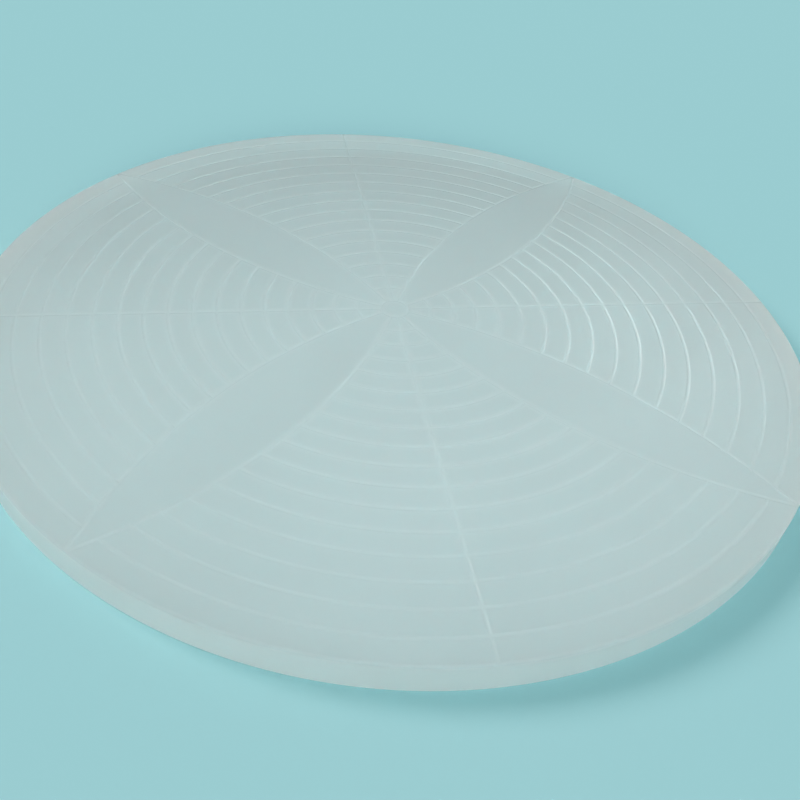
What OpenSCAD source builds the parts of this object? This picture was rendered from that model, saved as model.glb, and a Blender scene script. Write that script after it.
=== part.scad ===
// Quartz disc: a round plate of frosted fused quartz with a web of fine grooves cut in
// its top face. Straight spokes run from a small hub circle to the edge, a pointed petal
// lies between each two of them, and concentric rings run from petal to petal.
// Millimetres, +Z up. The origin is the centre of the bottom face.

/* [Plate] */
// Diameter of the plate
disc_d = 300; // [200:1:450]
// Thickness of the plate
disc_t = 11; // [4:0.5:20]
// Chamfer round the top and bottom edges
edge_chamfer = 1.0; // [0.2:0.1:1.5]

/* [Grooves] */
// Width of every groove at the face
groove_w = 1.5; // [1:0.1:2.5]
// Width of every groove at its floor
floor_w = 0.7; // [0.3:0.1:0.9]
// Depth of every groove
groove_depth = 0.2; // [0.1:0.05:0.5]

/* [Web] */
// Number of spokes, and of the petals between them
spoke_count = 4; // [3:1:6]
// Radius of the hub circle, where the spokes and the petals stop
hub_r = 5.2; // [4:0.1:8]
// Distance from one ring to the next
ring_pitch = 8.53; // [6:0.01:20]
// Least width of the plain band between the last ring and the edge
rim_band = 7.5; // [3:0.5:30]
// Radius of the two arcs that bound a petal
petal_arc_r = 200; // [160:5:300]

/* [Hidden] */

disc_r = disc_d / 2;
// As many rings as fit between the hub circle and the plain band
ring_count = floor((disc_r - rim_band - hub_r) / ring_pitch);
spoke_step = 360 / spoke_count;

// A petal's two arcs span the chord from the centre of the disc to its edge
petal_half_angle = asin(disc_r / 2 / petal_arc_r);
petal_arc_drop = petal_arc_r * cos(petal_half_angle);

// How far a groove is cut on past the edge, as a length and as an angle of a petal's arc
run_out = 2;
run_out_angle = run_out / petal_arc_r * 180 / PI;

// Length of the facets that stand for an arc, and the least number on a full circle
facet_length = 8;
least_facets = 24;

function facets(r) = max(least_facets, 4 * ceil(PI * r / facet_length / 2));

// A round plate with both edges chamfered
module plate() {
    face_r = disc_r - edge_chamfer;
    rotate_extrude($fn = facets(disc_r))
        polygon([
            [0, 0],
            [face_r, 0],
            [disc_r, edge_chamfer],
            [disc_r, disc_t - edge_chamfer],
            [face_r, disc_t],
            [0, disc_t]
        ]);
}

// Cross-section of the cut: a flat floor and sloping flanks, which go on above the face
module cut_section() {
    slope_w = (groove_w - floor_w) / 2;
    translate([0, disc_t])
        polygon([
            [-floor_w / 2, -groove_depth],
            [floor_w / 2, -groove_depth],
            [groove_w / 2 + slope_w, groove_depth],
            [-groove_w / 2 - slope_w, groove_depth]
        ]);
}

module ring_cut(r) {
    rotate_extrude($fn = facets(r))
        translate([r, 0])
            cut_section();
}

// A straight cut along +X, from the hub circle out over the edge
module spoke_cut() {
    translate([hub_r, 0, 0])
        rotate([90, 0, 90])
            linear_extrude(disc_r - hub_r + run_out)
                cut_section();
}

// One side of a petal that points along +X
module petal_side_cut() {
    translate([disc_r / 2, -petal_arc_drop, 0])
        rotate([0, 0, 90 - petal_half_angle - run_out_angle])
            rotate_extrude(angle = 2 * petal_half_angle + run_out_angle, $fn = facets(petal_arc_r))
                translate([petal_arc_r, 0])
                    cut_section();
}

// The plain field inside a petal, where no ring is cut
module petal_field() {
    translate([0, 0, disc_t / 2])
        linear_extrude(disc_t)
            intersection_for(side = [-1, 1])
                translate([disc_r / 2, side * petal_arc_drop])
                    circle(petal_arc_r, $fn = facets(petal_arc_r));
}

// The plain field inside the hub circle
module hub_field() {
    cylinder(h = 2 * disc_t, r = hub_r, $fn = facets(hub_r));
}

// Places its children once on each spoke's line
module on_spokes() {
    for (i = [0 : spoke_count - 1])
        rotate([0, 0, i * spoke_step])
            children();
}

// Places its children once on each petal's line, half way between two spokes
module on_petals() {
    rotate([0, 0, spoke_step / 2])
        on_spokes()
            children();
}

module petal_outlines() {
    difference() {
        on_petals() {
            petal_side_cut();
            mirror([0, 1, 0])
                petal_side_cut();
        }
        hub_field();
    }
}

module rings() {
    difference() {
        for (k = [1 : ring_count])
            ring_cut(hub_r + k * ring_pitch);
        on_petals()
            petal_field();
    }
}

module quartz_disc() {
    color([0.71, 0.80, 0.80])
        difference() {
            plate();
            on_spokes()
                spoke_cut();
            petal_outlines();
            rings();
            ring_cut(hub_r);
        }
}

quartz_disc();
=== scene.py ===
"""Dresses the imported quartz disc: finely cut grooves, frosted quartz, floor, light and camera."""

import logging
import math
from dataclasses import dataclass, field
from enum import Enum

import bmesh
import bpy
from mathutils import Matrix, Vector


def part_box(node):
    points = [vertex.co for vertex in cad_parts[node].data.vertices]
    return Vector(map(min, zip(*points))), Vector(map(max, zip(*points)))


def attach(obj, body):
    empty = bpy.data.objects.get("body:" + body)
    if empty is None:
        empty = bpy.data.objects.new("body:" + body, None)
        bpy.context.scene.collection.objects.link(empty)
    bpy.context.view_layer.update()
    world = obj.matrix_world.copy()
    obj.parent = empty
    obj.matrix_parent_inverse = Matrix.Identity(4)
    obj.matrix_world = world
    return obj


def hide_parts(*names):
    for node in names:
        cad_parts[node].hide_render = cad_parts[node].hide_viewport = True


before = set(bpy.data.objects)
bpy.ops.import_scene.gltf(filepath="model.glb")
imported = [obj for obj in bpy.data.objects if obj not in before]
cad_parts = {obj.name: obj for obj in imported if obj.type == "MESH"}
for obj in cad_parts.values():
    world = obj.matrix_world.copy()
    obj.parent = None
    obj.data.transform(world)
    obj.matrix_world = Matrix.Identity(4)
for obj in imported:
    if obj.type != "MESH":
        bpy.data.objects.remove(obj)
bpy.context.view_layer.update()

LOG = logging.getLogger("quartz_disc")
MM = 0.001
NODE = "quartz_disc"

Point2 = tuple[float, float]
Point3 = tuple[float, float, float]
Path = list[tuple[Point2, Point2]]
LightColour = tuple[float, float, float]
Colour = tuple[float, float, float, float]
Feed = float | Colour | bpy.types.NodeSocket

# A screen's curve: a straight line up to the knee, and a power above it.
SCREEN_FULL = 255
SCREEN_KNEE = 0.04045
SCREEN_SLOPE = 12.92
SCREEN_SHIFT = 0.055
SCREEN_POWER = 2.4

# How the faces of the cut mesh are told apart. The margins are lengths, the slack is a share of
# a groove's depth, and the last two are how much of a normal points straight up.
WALL_MARGIN = 0.1 * MM
RIM_MARGIN = 0.01 * MM
FACE_MARGIN = 0.001 * MM
DEPTH_SLACK = 1.1
LEVEL_SHARE = 0.9999
UPRIGHT_SHARE = 0.01

QUARTZ_INDEX = 1.458


def from_srgb(red: int, green: int, blue: int) -> Colour:
    """Turns a colour as a screen shows it into linear light.

    Args:
        red: Red, 0 to 255.
        green: Green, 0 to 255.
        blue: Blue, 0 to 255.

    Returns:
        The linear colour, with alpha 1.
    """
    parts = [value / SCREEN_FULL for value in (red, green, blue)]
    linear = [
        p / SCREEN_SLOPE
        if p <= SCREEN_KNEE
        else ((p + SCREEN_SHIFT) / (1 + SCREEN_SHIFT)) ** SCREEN_POWER
        for p in parts
    ]
    return (linear[0], linear[1], linear[2], 1.0)


def direction(azimuth: float, elevation: float) -> Vector:
    """Turns a side and a height over the horizon into a direction.

    Args:
        azimuth: Side, in degrees from +X towards +Y.
        elevation: Height over the horizon, in degrees.

    Returns:
        The direction, as a vector of length 1.
    """
    a, e = math.radians(azimuth), math.radians(elevation)
    return Vector((math.cos(a) * math.cos(e), math.sin(a) * math.cos(e), math.sin(e)))


class Part(Enum):
    """The parts of the disc's surface that are finished differently."""

    FACE = "ground face"
    GROOVE = "cut groove"
    WALL = "ground wall"

    @property
    def index(self) -> int:
        """Place of the part's material in the mesh."""
        return list(Part).index(self)


class PaintedGlowMask(Enum):
    """Where a finish takes the painted glow, by the output of the painted-glow group."""

    BESIDE_GROOVES = "Haze"
    INNER_FIELD = "Inner"


class Target(Enum):
    """What a lamp lights."""

    FLOOR = "floor"
    DISC = "disc"


@dataclass(frozen=True)
class PlateForm:
    """The plate's outer sizes, in metres.

    Attributes:
        radius: Radius of the plate.
        thickness: Height of the top face over the bottom one.
        edge_radius: Radius of both rounded edges, as wide as the solid's chamfer.
        edge_steps: Number of facets across a rounded edge.
    """

    radius: float
    thickness: float
    edge_radius: float = 1.0 * MM
    edge_steps: int = 6

    @classmethod
    def from_frame(cls) -> "PlateForm":
        """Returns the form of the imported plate."""
        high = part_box(NODE)[1]
        return cls(radius=high.x, thickness=high.z)

    def profile(self) -> list[Point2]:
        """Works out the half section, from the bottom face up.

        Returns:
            Points as (radius, height).
        """
        axis = self.radius - self.edge_radius
        turns = [math.pi / 2 * i / self.edge_steps for i in range(self.edge_steps + 1)]
        lower = [
            (axis + self.edge_radius * math.sin(a), self.edge_radius * (1 - math.cos(a)))
            for a in turns
        ]
        upper = [(r, self.thickness - z) for r, z in reversed(lower)]
        return lower + upper


@dataclass(frozen=True)
class GrooveSection:
    """Cross-section of every groove: the round trace of a ball-nosed cutter.

    Attributes:
        width: Width at the face.
        depth: Depth under the face.
        facets: Number of facets across the cut.
    """

    width: float = 1.5 * MM
    depth: float = 0.2 * MM
    facets: int = 10

    @property
    def nose(self) -> float:
        """Radius of the cutter's nose."""
        return (self.width**2 / 4 + self.depth**2) / (2 * self.depth)

    def outline(self) -> list[Point2]:
        """Works out the closed outline that is swept along a groove.

        Returns:
            Points as (sideways, height over the face). The arc lies under the face, and the
            last two points close it as far over the face as the groove is deep.
        """
        axis = self.nose - self.depth
        half = math.asin(self.width / 2 / self.nose)
        step = 2 * half / self.facets
        arc = [
            (self.nose * math.sin(a), axis - self.nose * math.cos(a))
            for a in (-half + i * step for i in range(self.facets + 1))
        ]
        lift = self.depth
        spread = self.width / 2 + lift / math.tan(half)
        return arc + [(spread, lift), (-spread, lift)]


@dataclass(frozen=True)
class Web:
    """The web of grooves on the top face: a hub circle, spokes, petals, and rings between them.

    Attributes:
        plate: Form of the plate.
        section: Cross-section of the cut.
        petals: Number of petals, and of the spokes between them.
        hub_radius: Radius of the circle where the spokes and the petals stop.
        pitch: Distance from one ring to the next.
        rim_band: Least width of the plain band at the edge.
        petal_radius: Radius of the two arcs that bound a petal.
        overrun: How far the spokes and the petals' sides are cut on past the edge.
        stride: Length of one facet along a groove.
        least_arc: Least number of facets along an arc.
        least_circle: Least number of facets round a circle.
    """

    plate: PlateForm
    section: GrooveSection = field(default_factory=GrooveSection)
    petals: int = 4
    hub_radius: float = 5.2 * MM
    pitch: float = 8.53 * MM
    rim_band: float = 7.5 * MM
    petal_radius: float = 200 * MM
    overrun: float = 2 * MM
    stride: float = 2.4 * MM
    least_arc: int = 4
    least_circle: int = 24

    @property
    def ring_radii(self) -> list[float]:
        """Radii of the rings, from the smallest."""
        room = self.plate.radius - self.rim_band - self.hub_radius
        return [self.hub_radius + self.pitch * (k + 1) for k in range(int(room / self.pitch))]

    @property
    def petal_half_angle(self) -> float:
        """Half the angle that a petal's side turns through."""
        return math.asin(self.plate.radius / 2 / self.petal_radius)

    @property
    def petal_centre(self) -> Point2:
        """Centre of the arc on the left of a petal that points along +X."""
        return (self.plate.radius / 2, -self.petal_radius * math.cos(self.petal_half_angle))

    def petal_reach(self, radius: float) -> float:
        """Finds how far a petal spreads at one distance from the centre.

        Args:
            radius: Distance from the centre of the plate.

        Returns:
            The angle between the petal's axis and its side there, in radians.
        """
        return self.petal_half_angle - math.asin(radius / 2 / self.petal_radius)

    def arc_path(
        self, centre: Point2, radius: float, start: float, end: float, closed: bool = False
    ) -> Path:
        """Lays points along an arc.

        Args:
            centre: Centre of the arc.
            radius: Radius of the arc.
            start: Angle of the first point.
            end: Angle of the last point.
            closed: True for a full circle, whose last point is left out.

        Returns:
            Pairs of a point and its outward direction.
        """
        least = self.least_circle if closed else self.least_arc
        steps = max(least, math.ceil(radius * abs(end - start) / self.stride))
        count = steps if closed else steps + 1
        angles = [start + (end - start) * i / steps for i in range(count)]
        return [
            (
                (centre[0] + radius * math.cos(a), centre[1] + radius * math.sin(a)),
                (math.cos(a), math.sin(a)),
            )
            for a in angles
        ]

    def hub_path(self) -> Path:
        """Returns the circle where the spokes and the petals stop."""
        return self.arc_path((0, 0), self.hub_radius, 0, 2 * math.pi, closed=True)

    def ring_paths(self) -> list[Path]:
        """Lays the rings between the petals.

        Returns:
            One path for each arc, from the smallest ring outwards.
        """
        paths = []
        for radius in self.ring_radii:
            span = math.pi / self.petals - self.petal_reach(radius)
            for i in range(self.petals):
                middle = 2 * math.pi * i / self.petals
                paths.append(self.arc_path((0, 0), radius, middle - span, middle + span))
        return paths

    def spoke_path(self, index: int) -> Path:
        """Lays one spoke, from the hub circle out over the edge.

        Args:
            index: Number of the spoke. The first points along +X.

        Returns:
            Pairs of a point and the sideways direction.
        """
        angle = 2 * math.pi * index / self.petals
        along = (math.cos(angle), math.sin(angle))
        side = (-along[1], along[0])
        start, end = self.hub_radius, self.plate.radius + self.overrun
        steps = math.ceil((end - start) / self.stride)
        reach = [start + (end - start) * i / steps for i in range(steps + 1)]
        return [((r * along[0], r * along[1]), side) for r in reach]

    def petal_path(self, index: int, mirrored: bool) -> Path:
        """Lays one side of a petal, from the hub circle out over the edge.

        Args:
            index: Number of the petal. The first lies between the first two spokes.
            mirrored: False for the petal's left side as seen from the hub, True for its right.

        Returns:
            Pairs of a point and the sideways direction.
        """
        half = self.petal_half_angle
        start = math.pi / 2 + half - 2 * math.asin(self.hub_radius / 2 / self.petal_radius)
        end = math.pi / 2 - half - self.overrun / self.petal_radius
        path = self.arc_path(self.petal_centre, self.petal_radius, start, end)
        turn = Matrix.Rotation(2 * math.pi * (index + 0.5) / self.petals, 2)
        flip = Matrix(((1, 0), (0, -1 if mirrored else 1)))
        return [
            (tuple(turn @ (flip @ Vector(point))), tuple(turn @ (flip @ Vector(side))))
            for point, side in path
        ]


class MeshMaker:
    """Builds closed meshes and cuts one with another."""

    @staticmethod
    def object_from(name: str, bm: bmesh.types.BMesh) -> bpy.types.Object:
        """Turns a bmesh into a linked object.

        Args:
            name: Name of the object and its mesh.
            bm: The bmesh, which is freed.

        Returns:
            The new object.
        """
        bmesh.ops.recalc_face_normals(bm, faces=bm.faces)
        mesh = bpy.data.meshes.new(name)
        bm.to_mesh(mesh)
        bm.free()
        made = bpy.data.objects.new(name, mesh)
        bpy.context.scene.collection.objects.link(made)
        return made

    @staticmethod
    def sweep(
        bm: bmesh.types.BMesh, outline: list[Point2], path: Path, height: float, closed: bool
    ) -> None:
        """Adds an outline swept along a level path.

        Args:
            bm: The bmesh that takes the sweep.
            outline: Closed outline of (sideways, upward) points.
            path: Pairs of a point on the path and the sideways direction there.
            height: Height of the outline's zero line.
            closed: True if the path's end meets its start.
        """
        loops = [
            [
                bm.verts.new((p[0] + s * side[0], p[1] + s * side[1], height + z))
                for s, z in outline
            ]
            for p, side in path
        ]
        count = len(outline)
        pairs = list(zip(loops, loops[1:]))
        if closed:
            pairs.append((loops[-1], loops[0]))
        for a, b in pairs:
            for i in range(count):
                j = (i + 1) % count
                bm.faces.new((a[i], a[j], b[j], b[i]))
        if not closed:
            bm.faces.new(loops[0])
            bm.faces.new(reversed(loops[-1]))

    @staticmethod
    def subtract(body: bpy.types.Object, cutter: bpy.types.Object) -> None:
        """Cuts one closed mesh out of another.

        Args:
            body: The object that is cut.
            cutter: The object that it loses, which is deleted.
        """
        cut = body.modifiers.new("cut", "BOOLEAN")
        cut.operation = "DIFFERENCE"
        cut.solver = "MANIFOLD"
        cut.object = cutter
        graph = bpy.context.evaluated_depsgraph_get()
        result = bpy.data.meshes.new_from_object(body.evaluated_get(graph))
        body.modifiers.clear()
        body.data = result
        bpy.data.objects.remove(cutter)


@dataclass
class QuartzDisc:
    """The disc with its grooves cut as fine round channels.

    Attributes:
        web: Layout of the grooves.
        finishes: The material of each part of the surface.
        turns: Number of facets round the plate.
        groove_ease: How far the shading of the cuts leans back to level, from 0 to 1.
    """

    web: Web
    finishes: dict[Part, bpy.types.Material]
    turns: int = 480
    groove_ease: float = 0.25

    def plate(self) -> bpy.types.Object:
        """Turns the plate from its half section.

        Returns:
            The plate before it is cut.
        """
        bm = bmesh.new()
        angles = [2 * math.pi * i / self.turns for i in range(self.turns)]
        rims = [
            [bm.verts.new((radius * math.cos(a), radius * math.sin(a), height)) for a in angles]
            for radius, height in self.web.plate.profile()
        ]
        for low, high in zip(rims, rims[1:]):
            for i in range(self.turns):
                j = (i + 1) % self.turns
                bm.faces.new((low[i], low[j], high[j], high[i]))
        bm.faces.new(reversed(rims[0]))
        bm.faces.new(rims[-1])
        return MeshMaker.object_from(NODE + "_body", bm)

    def cut(self, body: bpy.types.Object, paths: list[Path], closed: bool = False) -> None:
        """Cuts grooves that don't touch each other.

        Args:
            body: The plate.
            paths: One path for each groove.
            closed: True if every path closes on itself.
        """
        outline, top = self.web.section.outline(), self.web.plate.thickness
        bm = bmesh.new()
        for path in paths:
            MeshMaker.sweep(bm, outline, path, top, closed)
        MeshMaker.subtract(body, MeshMaker.object_from("cutter", bm))

    def part_of(self, face: bpy.types.MeshPolygon) -> Part:
        """Tells which part of the surface a face belongs to.

        Args:
            face: A face of the cut disc.

        Returns:
            The part, read from where the middle of the face lies.
        """
        plate = self.web.plate
        if math.hypot(face.center.x, face.center.y) > plate.radius - WALL_MARGIN:
            return Part.WALL
        deepest = plate.thickness - self.web.section.depth * DEPTH_SLACK
        if deepest < face.center.z < plate.thickness - FACE_MARGIN:
            return Part.GROOVE
        return Part.FACE

    def dress(self, mesh: bpy.types.Mesh) -> None:
        """Gives each face its finish.

        Args:
            mesh: The cut disc.
        """
        mesh.materials.clear()
        for part in Part:
            mesh.materials.append(self.finishes[part])
        for face in mesh.polygons:
            face.material_index = self.part_of(face).index
            face.use_smooth = True

    def shade(self, mesh: bpy.types.Mesh) -> None:
        """Gives the cuts and the rounded rim soft normals that end flat on the faces.

        Args:
            mesh: The cut disc, with its finishes set.
        """
        fixed: dict[int, Vector] = {}
        up = Vector((0, 0, 1))
        rim = self.web.plate.radius - RIM_MARGIN
        for face in mesh.polygons:
            share = abs(face.normal.z)
            if share > LEVEL_SHARE and face.material_index == Part.FACE.index:
                fixed.update((i, face.normal.copy()) for i in face.vertices)
            elif face.material_index == Part.GROOVE.index:
                for i in face.vertices:
                    leaning = mesh.vertices[i].normal
                    fixed.setdefault(i, leaning.lerp(up, self.groove_ease).normalized())
            elif share < UPRIGHT_SHARE and math.hypot(face.center.x, face.center.y) > rim:
                for i in face.vertices:
                    place = mesh.vertices[i].co
                    fixed.setdefault(i, Vector((place.x, place.y, 0)).normalized())
        normals = [fixed.get(v.index, v.normal) for v in mesh.vertices]
        mesh.normals_split_custom_set_from_vertices([tuple(n) for n in normals])

    def build(self) -> bpy.types.Object:
        """Builds the disc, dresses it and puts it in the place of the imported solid.

        Returns:
            The disc.
        """
        web = self.web
        body = self.plate()
        self.cut(body, web.ring_paths())
        self.cut(body, [web.spoke_path(i) for i in range(web.petals)])
        for mirrored in (False, True):
            self.cut(body, [web.petal_path(i, mirrored) for i in range(web.petals)])
        self.cut(body, [web.hub_path()], closed=True)
        self.dress(body.data)
        self.shade(body.data)
        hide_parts(NODE)
        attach(body, "root")
        return body


@dataclass(frozen=True)
class Graph:
    """Lays shader nodes and links them.

    Attributes:
        tree: The node tree that takes them.
    """

    tree: bpy.types.NodeTree

    def add(self, kind: str, **settings: object) -> bpy.types.Node:
        """Adds a node.

        Args:
            kind: Type name of the node.
            settings: Properties of the node to set.

        Returns:
            The new node.
        """
        node = self.tree.nodes.new(kind)
        for name, value in settings.items():
            setattr(node, name, value)
        return node

    def feed(self, socket: bpy.types.NodeSocket, value: Feed) -> None:
        """Sets an input, or links it.

        Args:
            socket: The input.
            value: A number or a colour to set, or an output to link.
        """
        if isinstance(value, bpy.types.NodeSocket):
            self.tree.links.new(value, socket)
        else:
            socket.default_value = value

    def maths(self, operation: str, *values: Feed) -> bpy.types.NodeSocket:
        """Adds a sum.

        Args:
            operation: Name of the operation.
            values: Its inputs, as numbers or outputs.

        Returns:
            The result.
        """
        node = self.add("ShaderNodeMath", operation=operation)
        for socket, value in zip(node.inputs, values):
            self.feed(socket, value)
        return node.outputs[0]

    def length(self, x: Feed, y: Feed) -> bpy.types.NodeSocket:
        """Returns the length of a line that runs this far along X and along Y."""
        squares = [self.maths("POWER", side, 2.0) for side in (x, y)]
        return self.maths("SQRT", self.maths("ADD", *squares))

    def fade(self, value: Feed, start: float, end: float) -> bpy.types.NodeSocket:
        """Turns a value into a share that runs softly from 0 to 1.

        Args:
            value: The value.
            start: Where the share is 0.
            end: Where the share is 1.

        Returns:
            The share.
        """
        node = self.add("ShaderNodeMapRange", interpolation_type="SMOOTHSTEP")
        self.feed(node.inputs["Value"], value)
        node.inputs["From Min"].default_value = start
        node.inputs["From Max"].default_value = end
        return node.outputs["Result"]

    def blend(self, share: Feed, first: Feed, second: Feed) -> bpy.types.NodeSocket:
        """Mixes two colours.

        Args:
            share: 0 for the first, 1 for the second.
            first: The first colour.
            second: The second colour.

        Returns:
            The mixed colour.
        """
        node = self.add("ShaderNodeMix", data_type="RGBA")
        self.feed(node.inputs["Factor"], share)
        self.feed(node.inputs["A"], first)
        self.feed(node.inputs["B"], second)
        return node.outputs["Result"]

    def noise(self, place: Feed, scale: Feed, detail: float) -> bpy.types.NodeSocket:
        """Adds an uneven pattern.

        Args:
            place: Place that the pattern is read at.
            scale: Number of its waves in a metre.
            detail: Number of finer layers in it.

        Returns:
            The pattern, from 0 to 1.
        """
        node = self.add("ShaderNodeTexNoise")
        self.feed(node.inputs["Vector"], place)
        self.feed(node.inputs["Scale"], scale)
        node.inputs["Detail"].default_value = detail
        return node.outputs["Fac"]


@dataclass(frozen=True)
class GroundSurface:
    """Node group for a ground surface: cloudy patches and a fine grain.

    Attributes:
        cloud_detail: Number of finer layers in the patches.
        cloud_start: Value of the pattern where a patch starts.
        cloud_end: Value of the pattern where a patch is full.
        grain_detail: Number of finer layers in the grain.
    """

    cloud_detail: float = 3.0
    cloud_start: float = 0.35
    cloud_end: float = 0.65
    grain_detail: float = 2.0

    def group(self) -> bpy.types.NodeTree:
        """Builds the group.

        Returns:
            A group that takes the scales of both patterns and puts both patterns out.
        """
        tree = bpy.data.node_groups.new("ground_surface", "ShaderNodeTree")
        for name in ("Cloud Scale", "Grain Scale"):
            tree.interface.new_socket(name, in_out="INPUT", socket_type="NodeSocketFloat")
        for name in ("Cloud", "Grain"):
            tree.interface.new_socket(name, in_out="OUTPUT", socket_type="NodeSocketFloat")
        graph = Graph(tree)
        given = graph.add("NodeGroupInput")
        place = graph.add("ShaderNodeTexCoord").outputs["Object"]
        cloud = graph.noise(place, given.outputs["Cloud Scale"], self.cloud_detail)
        grain = graph.noise(place, given.outputs["Grain Scale"], self.grain_detail)
        out = graph.add("NodeGroupOutput")
        graph.feed(out.inputs["Cloud"], graph.fade(cloud, self.cloud_start, self.cloud_end))
        graph.feed(out.inputs["Grain"], grain)
        return tree


@dataclass(frozen=True)
class PaintedGrooveGlow:
    """Node group for painted light: a pale glow painted beside the grooves, fading towards the rim.

    Attributes:
        web: Layout of the grooves.
        reach: Distance from the middle of a groove at which the painted glow ends.
        full: Distance from the centre up to which the painted glow is full.
        end: Distance from the centre at which the painted glow is gone.
    """

    web: Web
    reach: float = 2.6 * MM
    full: float = 75 * MM
    end: float = 150 * MM

    def beside(self, graph: Graph, distance: Feed) -> bpy.types.NodeSocket:
        """Returns the painted glow, from 0 to 1, this far to either side of a groove's middle."""
        return graph.fade(graph.maths("ABSOLUTE", distance), self.reach, 0.0)

    def ring_distance(self, graph: Graph, radius: Feed) -> bpy.types.NodeSocket:
        """Finds the distance to the nearest ring.

        Args:
            graph: The group's nodes.
            radius: Distance from the centre.

        Returns:
            The distance, below 0 inside the ring.
        """
        steps = graph.maths("SUBTRACT", radius, self.web.hub_radius)
        turns = graph.maths("DIVIDE", steps, self.web.pitch)
        off = graph.maths("SUBTRACT", turns, graph.maths("ROUND", turns))
        return graph.maths("MULTIPLY", off, self.web.pitch)

    def petal_distance(self, graph: Graph, x: Feed, y: Feed) -> bpy.types.NodeSocket:
        """Finds the distance to the side of the nearest petal.

        Args:
            graph: The group's nodes.
            x: Distance from the Y axis.
            y: Distance from the X axis.

        Returns:
            The distance, below 0 inside the petal.
        """
        diagonal = math.sqrt(0.5)
        centre = self.web.petal_centre
        along = graph.maths("MULTIPLY", graph.maths("ADD", x, y), diagonal)
        across = graph.maths("MULTIPLY", graph.maths("SUBTRACT", x, y), diagonal)
        span = graph.length(
            graph.maths("SUBTRACT", along, centre[0]),
            graph.maths("SUBTRACT", graph.maths("ABSOLUTE", across), centre[1]),
        )
        return graph.maths("SUBTRACT", span, self.web.petal_radius)

    def lines(self, graph: Graph, x: Feed, y: Feed, radius: Feed) -> bpy.types.NodeSocket:
        """Lays the painted glow beside all the grooves.

        Args:
            graph: The group's nodes.
            x: Distance from the Y axis.
            y: Distance from the X axis.
            radius: Distance from the centre.

        Returns:
            The painted glow, from 0 to 1.
        """
        web = self.web
        spoke = self.beside(graph, graph.maths("MINIMUM", x, y))
        ring = self.beside(graph, self.ring_distance(graph, radius))
        petal = self.petal_distance(graph, x, y)
        last = web.ring_radii[-1] + web.pitch / 2
        field_lines = graph.maths("MAXIMUM", ring, spoke)
        field_lines = graph.maths("MULTIPLY", field_lines, graph.maths("GREATER_THAN", petal, 0.0))
        field_lines = graph.maths("MULTIPLY", field_lines, graph.maths("LESS_THAN", radius, last))
        rim_lines = graph.maths("MULTIPLY", spoke, graph.maths("GREATER_THAN", radius, last))
        painted_glow = graph.maths("MAXIMUM", field_lines, rim_lines)
        painted_glow = graph.maths("MAXIMUM", painted_glow, self.beside(graph, petal))
        painted_glow = graph.maths("MULTIPLY", painted_glow, graph.maths("GREATER_THAN", radius, web.hub_radius))
        hub = self.beside(graph, graph.maths("SUBTRACT", radius, web.hub_radius))
        return graph.maths("MAXIMUM", painted_glow, hub)

    def group(self) -> bpy.types.NodeTree:
        """Builds the group.

        Returns:
            A group that puts out the painted glow beside the grooves, and a share over the field
            that fades towards the rim.
        """
        tree = bpy.data.node_groups.new("web_painted_glow", "ShaderNodeTree")
        for mask in PaintedGlowMask:
            tree.interface.new_socket(mask.value, in_out="OUTPUT", socket_type="NodeSocketFloat")
        graph = Graph(tree)
        place = graph.add("ShaderNodeTexCoord").outputs["Object"]
        split = graph.add("ShaderNodeSeparateXYZ")
        graph.feed(split.inputs[0], place)
        x, y = (graph.maths("ABSOLUTE", split.outputs[axis]) for axis in ("X", "Y"))
        radius = graph.length(x, y)
        inner = graph.fade(radius, self.end, self.full)
        lines = graph.maths("MULTIPLY", self.lines(graph, x, y, radius), inner)
        out = graph.add("NodeGroupOutput")
        graph.feed(out.inputs[PaintedGlowMask.BESIDE_GROOVES.value], lines)
        graph.feed(out.inputs[PaintedGlowMask.INNER_FIELD.value], inner)
        return tree


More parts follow.
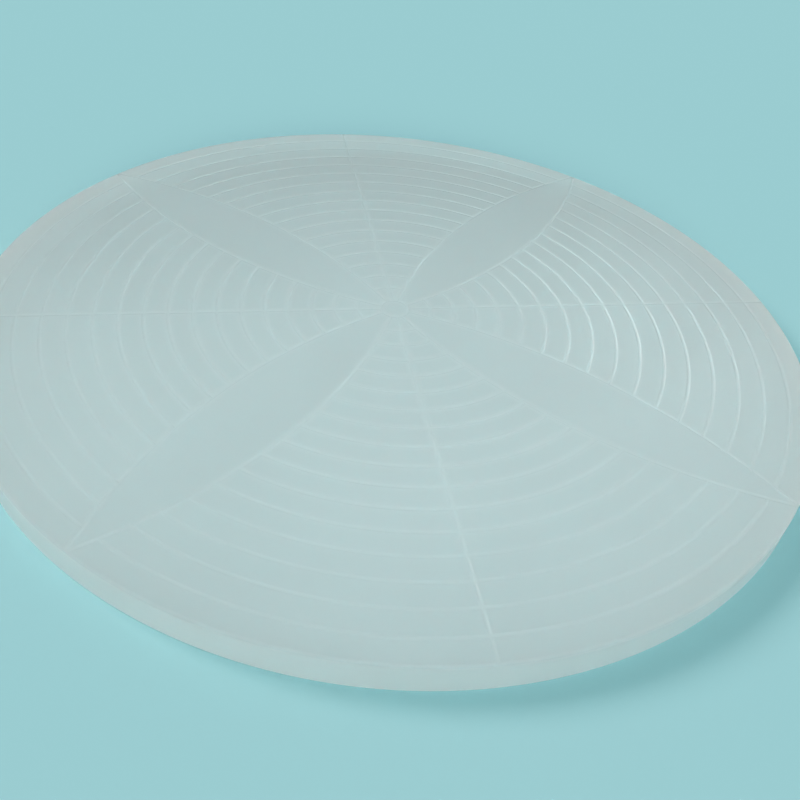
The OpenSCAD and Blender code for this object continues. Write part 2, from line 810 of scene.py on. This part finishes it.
@dataclass(frozen=True)
class FrostedQuartz:
    """Milky quartz with a ground surface.

    Attributes:
        name: Name of the finish.
        tint: Colour of the quartz.
        cloud_tint: Its colour in the cloudier patches.
        clearness: Share of the light that passes through.
        matt: Roughness of the ground surface.
        polish: Weight of the thin polished layer on top.
        polish_roughness: Roughness of that layer.
        painted_glow_tint: Paler colour painted on where light gathers along the grooves.
        painted_glow_mask: Where this painted glow goes.
        cloud_scale: Number of cloudy waves in a metre.
        grain_scale: Number of waves of the grain in a metre.
        grain: Height of the grain.
        grain_strength: How much of the grain shows, from 0 to 1.
    """

    name: str
    tint: Colour
    cloud_tint: Colour
    clearness: float
    matt: float = 0.95
    polish: float = 0.0
    polish_roughness: float = 0.2
    painted_glow_tint: Colour | None = None
    painted_glow_mask: PaintedGlowMask = PaintedGlowMask.BESIDE_GROOVES
    cloud_scale: float = 14.0
    grain_scale: float = 2500.0
    grain: float = 0.02 * MM
    grain_strength: float = 0.3

    def material(self, ground: bpy.types.NodeTree, painted_glow: bpy.types.NodeTree) -> bpy.types.Material:
        """Builds the finish.

        Args:
            ground: Group that puts out the patches and the grain of a ground surface.
            painted_glow: Group that puts out where the painted glow goes.

        Returns:
            The material.
        """
        made = bpy.data.materials.new(self.name)
        made.use_nodes = True
        graph = Graph(made.node_tree)
        shader = made.node_tree.nodes["Principled BSDF"]
        surface = graph.add("ShaderNodeGroup", node_tree=ground)
        surface.inputs["Cloud Scale"].default_value = self.cloud_scale
        surface.inputs["Grain Scale"].default_value = self.grain_scale
        colour = graph.blend(surface.outputs["Cloud"], self.tint, self.cloud_tint)
        # Painted light: the colour is blended towards a paler tint where the painted glow goes.
        if self.painted_glow_tint is not None:
            masks = graph.add("ShaderNodeGroup", node_tree=painted_glow)
            colour = graph.blend(masks.outputs[self.painted_glow_mask.value], colour, self.painted_glow_tint)
        graph.feed(shader.inputs["Base Color"], colour)
        bump = graph.add("ShaderNodeBump")
        bump.inputs["Distance"].default_value = self.grain
        bump.inputs["Strength"].default_value = self.grain_strength
        graph.feed(bump.inputs["Height"], surface.outputs["Grain"])
        graph.feed(shader.inputs["Normal"], bump.outputs["Normal"])
        shader.inputs["Roughness"].default_value = self.matt
        shader.inputs["IOR"].default_value = QUARTZ_INDEX
        shader.inputs["Transmission Weight"].default_value = self.clearness
        shader.inputs["Coat Weight"].default_value = self.polish
        shader.inputs["Coat Roughness"].default_value = self.polish_roughness
        shader.inputs["Coat IOR"].default_value = QUARTZ_INDEX
        return made


FINISHES: dict[Part, FrostedQuartz] = {
    Part.FACE: FrostedQuartz(
        name="frosted_face",
        tint=(0.88, 0.88, 0.874, 1.0),
        cloud_tint=(0.87, 0.87, 0.864, 1.0),
        clearness=0.81,
        # Painted glow: paler beside the grooves, where light gathers along them.
        painted_glow_tint=(0.925, 0.923, 0.917, 1.0),
    ),
    Part.GROOVE: FrostedQuartz(
        name="cut_groove",
        # Painted light: the grooves are tinted paler than the face, to cancel their own shade and
        # paint a glow along them, paler still inward of the rim.
        tint=(0.935, 0.935, 0.929, 1.0),
        cloud_tint=(0.925, 0.925, 0.919, 1.0),
        clearness=0.81,
        polish=0.7,
        polish_roughness=0.18,
        painted_glow_tint=(0.955, 0.955, 0.949, 1.0),
        painted_glow_mask=PaintedGlowMask.INNER_FIELD,
    ),
    Part.WALL: FrostedQuartz(
        # Painted light: paler and warmer than the face, for the warm light that falls on the side.
        name="ground_wall",
        tint=(0.96, 0.93, 0.91, 1.0),
        cloud_tint=(0.95, 0.92, 0.9, 1.0),
        clearness=0.7,
        matt=0.4,
    ),
}


@dataclass(frozen=True)
class Floor:
    """Round sheet of plain paper under the disc.

    Attributes:
        colour: Colour of the paper.
        radius: Radius of the sheet.
        drop: Gap under the disc's bottom face.
        turns: Number of straight edges round the sheet.
    """

    colour: Colour = from_srgb(155, 211, 219)
    radius: float = 6.0
    drop: float = 0.1 * MM
    turns: int = 64

    def build(self) -> bpy.types.Object:
        """Lays the floor.

        Returns:
            The floor.
        """
        bm = bmesh.new()
        bmesh.ops.create_circle(bm, cap_ends=True, segments=self.turns, radius=self.radius)
        bmesh.ops.translate(bm, verts=bm.verts, vec=(0, 0, -self.drop))
        made = MeshMaker.object_from("floor", bm)
        if made.data.polygons[0].normal.z < 0:
            made.data.flip_normals()
        finish = bpy.data.materials.new("plain_paper")
        finish.use_nodes = True
        shader = finish.node_tree.nodes["Principled BSDF"]
        shader.inputs["Base Color"].default_value = self.colour
        shader.inputs["Roughness"].default_value = 1.0
        shader.inputs["Specular IOR Level"].default_value = 0.0
        made.data.materials.append(finish)
        return made


@dataclass(frozen=True)
class Surround:
    """Even light from above, with the backdrop low down all round.

    Attributes:
        sky: Strength of the even light.
        sky_colour: Colour of the even light.
        backdrop: Strength of the backdrop.
        backdrop_colour: Colour of the backdrop.
        band_low: Height where the backdrop starts to fade, 0 at the horizon and 1 straight up.
        band_high: Height where only the even light is left.
    """

    sky: float = 0.5
    sky_colour: Colour = (0.93, 1.0, 1.0, 1.0)
    backdrop: float = 1.0
    backdrop_colour: Colour = from_srgb(154, 205, 208)
    band_low: float = 0.25
    band_high: float = 0.6

    def build(self) -> None:
        """Sets the light from all round and the backdrop."""
        world = bpy.data.worlds.new("studio")
        bpy.context.scene.world = world
        world.use_nodes = True
        graph = Graph(world.node_tree)
        light = world.node_tree.nodes["Background"]
        light.inputs["Color"].default_value = self.sky_colour
        light.inputs["Strength"].default_value = self.sky
        backdrop = graph.add("ShaderNodeBackground")
        backdrop.inputs["Color"].default_value = self.backdrop_colour
        backdrop.inputs["Strength"].default_value = self.backdrop
        split = graph.add("ShaderNodeSeparateXYZ")
        graph.feed(split.inputs[0], graph.add("ShaderNodeTexCoord").outputs["Generated"])
        pick = graph.add("ShaderNodeMixShader")
        share = graph.fade(split.outputs["Z"], self.band_low, self.band_high)
        for socket, value in zip(pick.inputs, (share, backdrop.outputs[0], light.outputs[0])):
            graph.feed(socket, value)
        graph.feed(world.node_tree.nodes["World Output"].inputs["Surface"], pick.outputs[0])


@dataclass(frozen=True)
class Lamp:
    """What every lamp has.

    Attributes:
        name: Name of the lamp.
        target: The only thing that it lights.
        power: Power in watts, or for a sun lamp in watts a square metre.
        colour: Colour of its light.
    """

    name: str
    target: Target
    power: float
    colour: LightColour

    def make(self) -> bpy.types.Object:
        """Makes the lamp. Each kind of lamp has its own way."""
        raise NotImplementedError

    def hang(self, data: bpy.types.Light, place: Vector, back: Vector) -> bpy.types.Object:
        """Hangs the lamp in its place.

        Args:
            data: The lamp's own data, with its size set.
            place: Where it hangs.
            back: Direction that its back faces.

        Returns:
            The lamp.
        """
        data.energy = self.power
        data.color = self.colour
        made = bpy.data.objects.new(self.name, data)
        made.location = place
        made.rotation_euler = back.to_track_quat("Z", "Y").to_euler()
        bpy.context.scene.collection.objects.link(made)
        return made

    def build(self, lit: bpy.types.Object) -> None:
        """Makes the lamp and lets it light one object only.

        Args:
            lit: The object that it lights.
        """
        made = self.make()
        group = bpy.data.collections.new(self.name + "_lights")
        group.objects.link(lit)
        made.light_linking.receiver_collection = group


@dataclass(frozen=True)
class SunLamp(Lamp):
    """A distant soft lamp.

    Attributes:
        azimuth: Side that it shines from, in degrees from +X towards +Y.
        elevation: Height over the horizon, in degrees.
        spread: Angle that the lamp covers in the sky, in degrees.
    """

    azimuth: float
    elevation: float
    spread: float

    def make(self) -> bpy.types.Object:
        """Makes the lamp.

        Returns:
            The lamp.
        """
        data = bpy.data.lights.new(self.name, "SUN")
        data.angle = math.radians(self.spread)
        made = self.hang(data, Vector(), direction(self.azimuth, self.elevation))
        made.visible_glossy = False
        return made


@dataclass(frozen=True)
class StripLamp(Lamp):
    """A long strip lamp close to the disc.

    Attributes:
        place: Where it hangs.
        aim: Point that it faces.
        length: Length of the strip.
        width: Width of the strip.
    """

    place: Point3
    aim: Point3
    length: float = 1.0
    width: float = 0.1

    def make(self) -> bpy.types.Object:
        """Makes the lamp.

        Returns:
            The lamp.
        """
        data = bpy.data.lights.new(self.name, "AREA")
        data.shape = "RECTANGLE"
        data.size, data.size_y = self.length, self.width
        place = Vector(self.place)
        made = self.hang(data, place, place - Vector(self.aim))
        made.visible_camera = False
        made.visible_glossy = False
        return made


@dataclass(frozen=True)
class GlintLamp(Lamp):
    """A small spot lamp that only makes the polished grooves glint.

    Attributes:
        azimuth: Side that it shines from, in degrees from +X towards +Y.
        elevation: Height over the horizon, in degrees.
        aim: Point of the disc that it is aimed at.
        reach: Its distance from that point.
        size: Radius of the lamp.
        half_cone: Half the angle of its cone, in degrees.
        soft_edge: Share of the cone over which the light fades out.
    """

    azimuth: float
    elevation: float
    aim: Point3
    reach: float
    size: float
    half_cone: float
    soft_edge: float = 0.5

    def make(self) -> bpy.types.Object:
        """Makes the lamp.

        Returns:
            The lamp.
        """
        data = bpy.data.lights.new(self.name, "SPOT")
        data.shadow_soft_size = self.size
        data.spot_size = math.radians(2 * self.half_cone)
        data.spot_blend = self.soft_edge
        back = direction(self.azimuth, self.elevation)
        made = self.hang(data, Vector(self.aim) + back * self.reach, back)
        made.visible_camera = False
        return made


@dataclass(frozen=True)
class Camera:
    """Camera over the near side of the disc.

    Attributes:
        place: Where it stands, from the middle of the disc's top face.
        heading: Turn from +Y towards -X, in degrees.
        pitch: Tilt over the horizon, in degrees.
        roll: Turn about its line of sight, in degrees.
        lens: Focal length, in millimetres.
        sensor: Width of the sensor, in millimetres.
        shift: Shift of the picture sideways and upwards, in picture widths.
        near: Distance at which it starts to see.
        far: Distance at which it stops seeing.
    """

    place: Point3 = (-64.04 * MM, -259.18 * MM, 184.66 * MM)
    heading: float = -12.847
    pitch: float = -40.721
    roll: float = 6.393
    lens: float = 39.16
    sensor: float = 36.0
    shift: Point2 = (0.0357, -0.0018)
    near: float = 0.01
    far: float = 50.0

    def build(self, top: float) -> None:
        """Sets up the camera.

        Args:
            top: Height of the disc's top face.
        """
        data = bpy.data.cameras.new("camera")
        data.sensor_width = self.sensor
        data.lens = self.lens
        data.shift_x, data.shift_y = self.shift
        data.clip_start, data.clip_end = self.near, self.far
        made = bpy.data.objects.new("camera", data)
        made.location = (self.place[0], self.place[1], self.place[2] + top)
        turn = (
            Matrix.Rotation(math.radians(self.heading), 4, "Z")
            @ Matrix.Rotation(math.pi / 2 + math.radians(self.pitch), 4, "X")
            @ Matrix.Rotation(math.radians(self.roll), 4, "Z")
        )
        made.rotation_euler = turn.to_euler()
        bpy.context.scene.collection.objects.link(made)
        bpy.context.scene.camera = made


@dataclass(frozen=True)
class Studio:
    """Floor, surround, lamps and camera round the disc.

    Attributes:
        plate: Form of the plate.
        floor: The floor.
        surround: The light from all round.
        camera: The camera.
    """

    plate: PlateForm
    floor: Floor = field(default_factory=Floor)
    surround: Surround = field(default_factory=Surround)
    camera: Camera = field(default_factory=Camera)

    def lamps(self) -> list[Lamp]:
        """Lists the lamps.

        Returns:
            The lamps, in the order in which they are hung.
        """
        top = self.plate.thickness
        return [
            SunLamp(
                name="key",
                target=Target.FLOOR,
                power=2.0,
                colour=(1.0, 0.72, 0.68),
                azimuth=148,
                elevation=37,
                spread=25,
            ),
            SunLamp(
                name="low",
                target=Target.FLOOR,
                power=1.83,
                colour=(1.0, 0.78, 0.65),
                azimuth=-100,
                elevation=17,
                spread=22,
            ),
            SunLamp(
                name="fill",
                target=Target.DISC,
                power=0.7,
                colour=(1.0, 0.9, 0.86),
                azimuth=-100,
                elevation=45,
                spread=50,
            ),
            StripLamp(
                name="strip",
                target=Target.DISC,
                power=0.69,
                colour=(1.0, 0.95, 0.93),
                place=(0.0, -0.06, 0.24),
                aim=(0.0, -0.06, 0.0),
            ),
            StripLamp(
                name="front",
                target=Target.DISC,
                power=0.42,
                colour=(1.0, 0.82, 0.76),
                place=(-0.32, -0.44, 0.17),
                aim=(0.0, 0.0, 0.0),
            ),
            GlintLamp(
                name="glint_right",
                target=Target.DISC,
                power=1.15,
                colour=(1.0, 1.0, 1.0),
                azimuth=75.8,
                elevation=37.3,
                aim=(110 * MM, -20 * MM, top),
                reach=0.45,
                size=0.06,
                half_cone=6.0,
            ),
            GlintLamp(
                name="glint_near",
                target=Target.DISC,
                power=1.7,
                colour=(1.0, 1.0, 1.0),
                azimuth=94,
                elevation=55.4,
                aim=(0.0, -122 * MM, top),
                reach=0.4,
                size=0.05,
                half_cone=3.5,
            ),
        ]

    def build(self, disc: bpy.types.Object) -> None:
        """Builds the studio.

        Args:
            disc: The dressed disc.
        """
        lit = {Target.FLOOR: self.floor.build(), Target.DISC: disc}
        LOG.info("floor: radius %.1f m", self.floor.radius)
        self.surround.build()
        for lamp in self.lamps():
            lamp.build(lit[lamp.target])
            LOG.info("lamp: %s, for the %s only", lamp.name, lamp.target.value)
        self.camera.build(self.plate.thickness)
        bpy.context.scene.view_settings.view_transform = "Standard"


def main() -> None:
    """Builds the disc and the studio, and reports each piece."""
    logging.basicConfig(level=logging.INFO, format="%(name)s: %(message)s")
    plate = PlateForm.from_frame()
    web = Web(plate)
    ground, painted_glow = GroundSurface().group(), PaintedGrooveGlow(web).group()
    finishes = {part: finish.material(ground, painted_glow) for part, finish in FINISHES.items()}
    disc = QuartzDisc(web, finishes).build()
    LOG.info("disc: %d faces, %d rings", len(disc.data.polygons), len(web.ring_radii))
    Studio(plate).build(disc)


if __name__ == "__main__":
    main()
